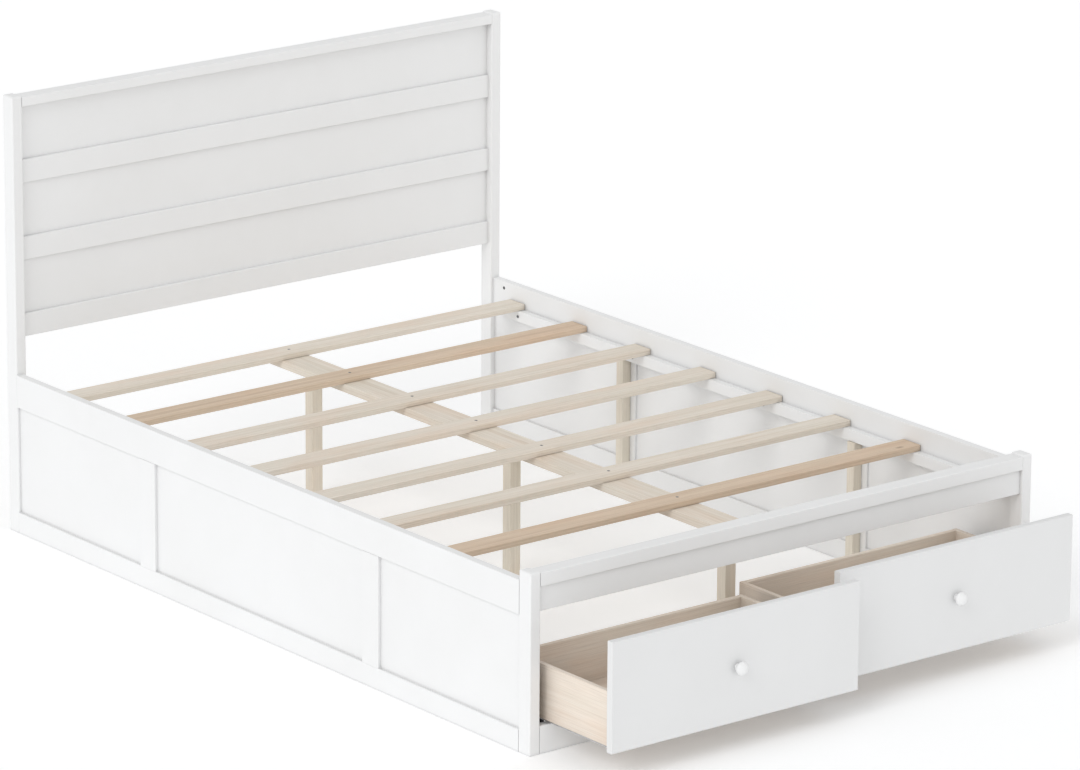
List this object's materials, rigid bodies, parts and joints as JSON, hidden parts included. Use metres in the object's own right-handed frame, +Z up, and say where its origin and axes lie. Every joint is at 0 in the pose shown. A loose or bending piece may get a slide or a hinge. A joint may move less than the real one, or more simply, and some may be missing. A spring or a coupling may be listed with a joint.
{
  "type": "platform bed with storage drawers",
  "caption": "Full-size platform bed with a panelled headboard, framed side panels, a slatted deck on a centre beam, and roller-slide storage drawers at the foot.",
  "frame": {"origin": "on the floor, under the middle leg of the centre beam, on the bed's centre line", "axes": "+X to the right seen from the foot towards the head, +Y towards the headboard, +Z up; the drawers open towards -Y"},
  "size_m": [1.44, 2.273, 1.064],
  "materials": {
    "white_paint": "satin white paint on wood",
    "slat_wood": "raw pale pine",
    "slat_wood_dark": "raw pine, warmer tone",
    "leg_wood": "raw grey-beige wood",
    "drawer_wood": "raw light wood with a thin clear coat",
    "zinc_steel": "zinc plated",
    "dark_steel": "blackened steel",
    "black_nylon": "moulded nylon"
  },
  "bodies": {
    "frame": {"head_post_left": "white_paint", "head_post_right": "white_paint", "headboard_top_rail": "white_paint", "headboard_upper_rail": "white_paint", "headboard_middle_rail": "white_paint", "headboard_bottom_rail": "white_paint", "headboard_panel_top": "white_paint", "headboard_panel_middle": "white_paint", "headboard_panel_bottom": "white_paint", "foot_post_left": "white_paint", "foot_post_right": "white_paint", "footboard_top_rail": "white_paint", "footboard_apron": "white_paint", "foot_bottom_rail": "white_paint", "left_top_rail": "white_paint", "right_top_rail": "white_paint", "left_bottom_rail": "white_paint", "right_bottom_rail": "white_paint", "left_stiles": "white_paint", "right_stiles": "white_paint", "left_panels": "white_paint", "right_panels": "white_paint", "left_ledger": "white_paint", "right_ledger": "white_paint", "side_legs": "leg_wood", "centre_leg_head": "leg_wood", "centre_leg_middle": "leg_wood", "centre_leg_foot": "leg_wood", "centre_beam": "slat_wood", "slat_1": "slat_wood_dark", "slat_2": "slat_wood", "slat_3": "slat_wood", "slat_4": "slat_wood", "slat_5": "slat_wood", "slat_6": "slat_wood_dark", "slat_7": "slat_wood", "drawer_bearers": "leg_wood", "drawer_channels": "zinc_steel", "bed_bolts": "dark_steel", "wood_screws": "dark_steel"},
    "left_front_rollers": {"left_front_rollers": "black_nylon"},
    "right_front_rollers": {"right_front_rollers": "black_nylon"},
    "left_drawer": {"left_drawer_front": "white_paint", "left_drawer_outer_side": "drawer_wood", "left_drawer_inner_side": "drawer_wood", "left_drawer_back": "drawer_wood", "left_drawer_bottom": "drawer_wood", "left_drawer_knob": "white_paint", "left_knob_screw": "zinc_steel", "left_drawer_runners": "zinc_steel"},
    "left_rear_rollers": {"left_rear_rollers": "black_nylon"},
    "right_drawer": {"right_drawer_front": "white_paint", "right_drawer_outer_side": "drawer_wood", "right_drawer_inner_side": "drawer_wood", "right_drawer_back": "drawer_wood", "right_drawer_bottom": "drawer_wood", "right_drawer_knob": "white_paint", "right_knob_screw": "zinc_steel", "right_drawer_runners": "zinc_steel"},
    "right_rear_rollers": {"right_rear_rollers": "black_nylon"}
  },
  "joints": [
    {"name": "left_drawer_slide", "type": "slide", "parent": "frame", "child": "left_drawer", "axis": [0, -1, 0], "range_m": [-0.243, 0.057]},
    {"name": "right_drawer_slide", "type": "slide", "parent": "frame", "child": "right_drawer", "axis": [0, -1, 0], "range_m": [-0.173, 0.127]},
    {"name": "left_front_roller_spin", "type": "hinge", "parent": "frame", "child": "left_front_rollers", "pos_m": [-0.349, -0.957, 0.0617], "axis": [1, 0, 0], "range_deg": [-1760, 428]},
    {"name": "left_rear_roller_spin", "type": "hinge", "parent": "left_drawer", "child": "left_rear_rollers", "pos_m": [-0.349, -0.874, 0.061], "axis": [1, 0, 0], "range_deg": [-1486, 364]},
    {"name": "right_front_roller_spin", "type": "hinge", "parent": "frame", "child": "right_front_rollers", "pos_m": [0.349, -0.957, 0.0617], "axis": [1, 0, 0], "range_deg": [-1259, 930]},
    {"name": "right_rear_roller_spin", "type": "hinge", "parent": "right_drawer", "child": "right_rear_rollers", "pos_m": [0.349, -0.804, 0.061], "axis": [1, 0, 0], "range_deg": [-1063, 786]}
  ],
  "couplings": [
    {"joint": "left_front_roller_spin", "follows": "left_drawer_slide", "rad_per_m": 125},
    {"joint": "left_rear_roller_spin", "follows": "left_drawer_slide", "rad_per_m": 105.26},
    {"joint": "right_front_roller_spin", "follows": "right_drawer_slide", "rad_per_m": 125},
    {"joint": "right_rear_roller_spin", "follows": "right_drawer_slide", "rad_per_m": 105.26}
  ]
}
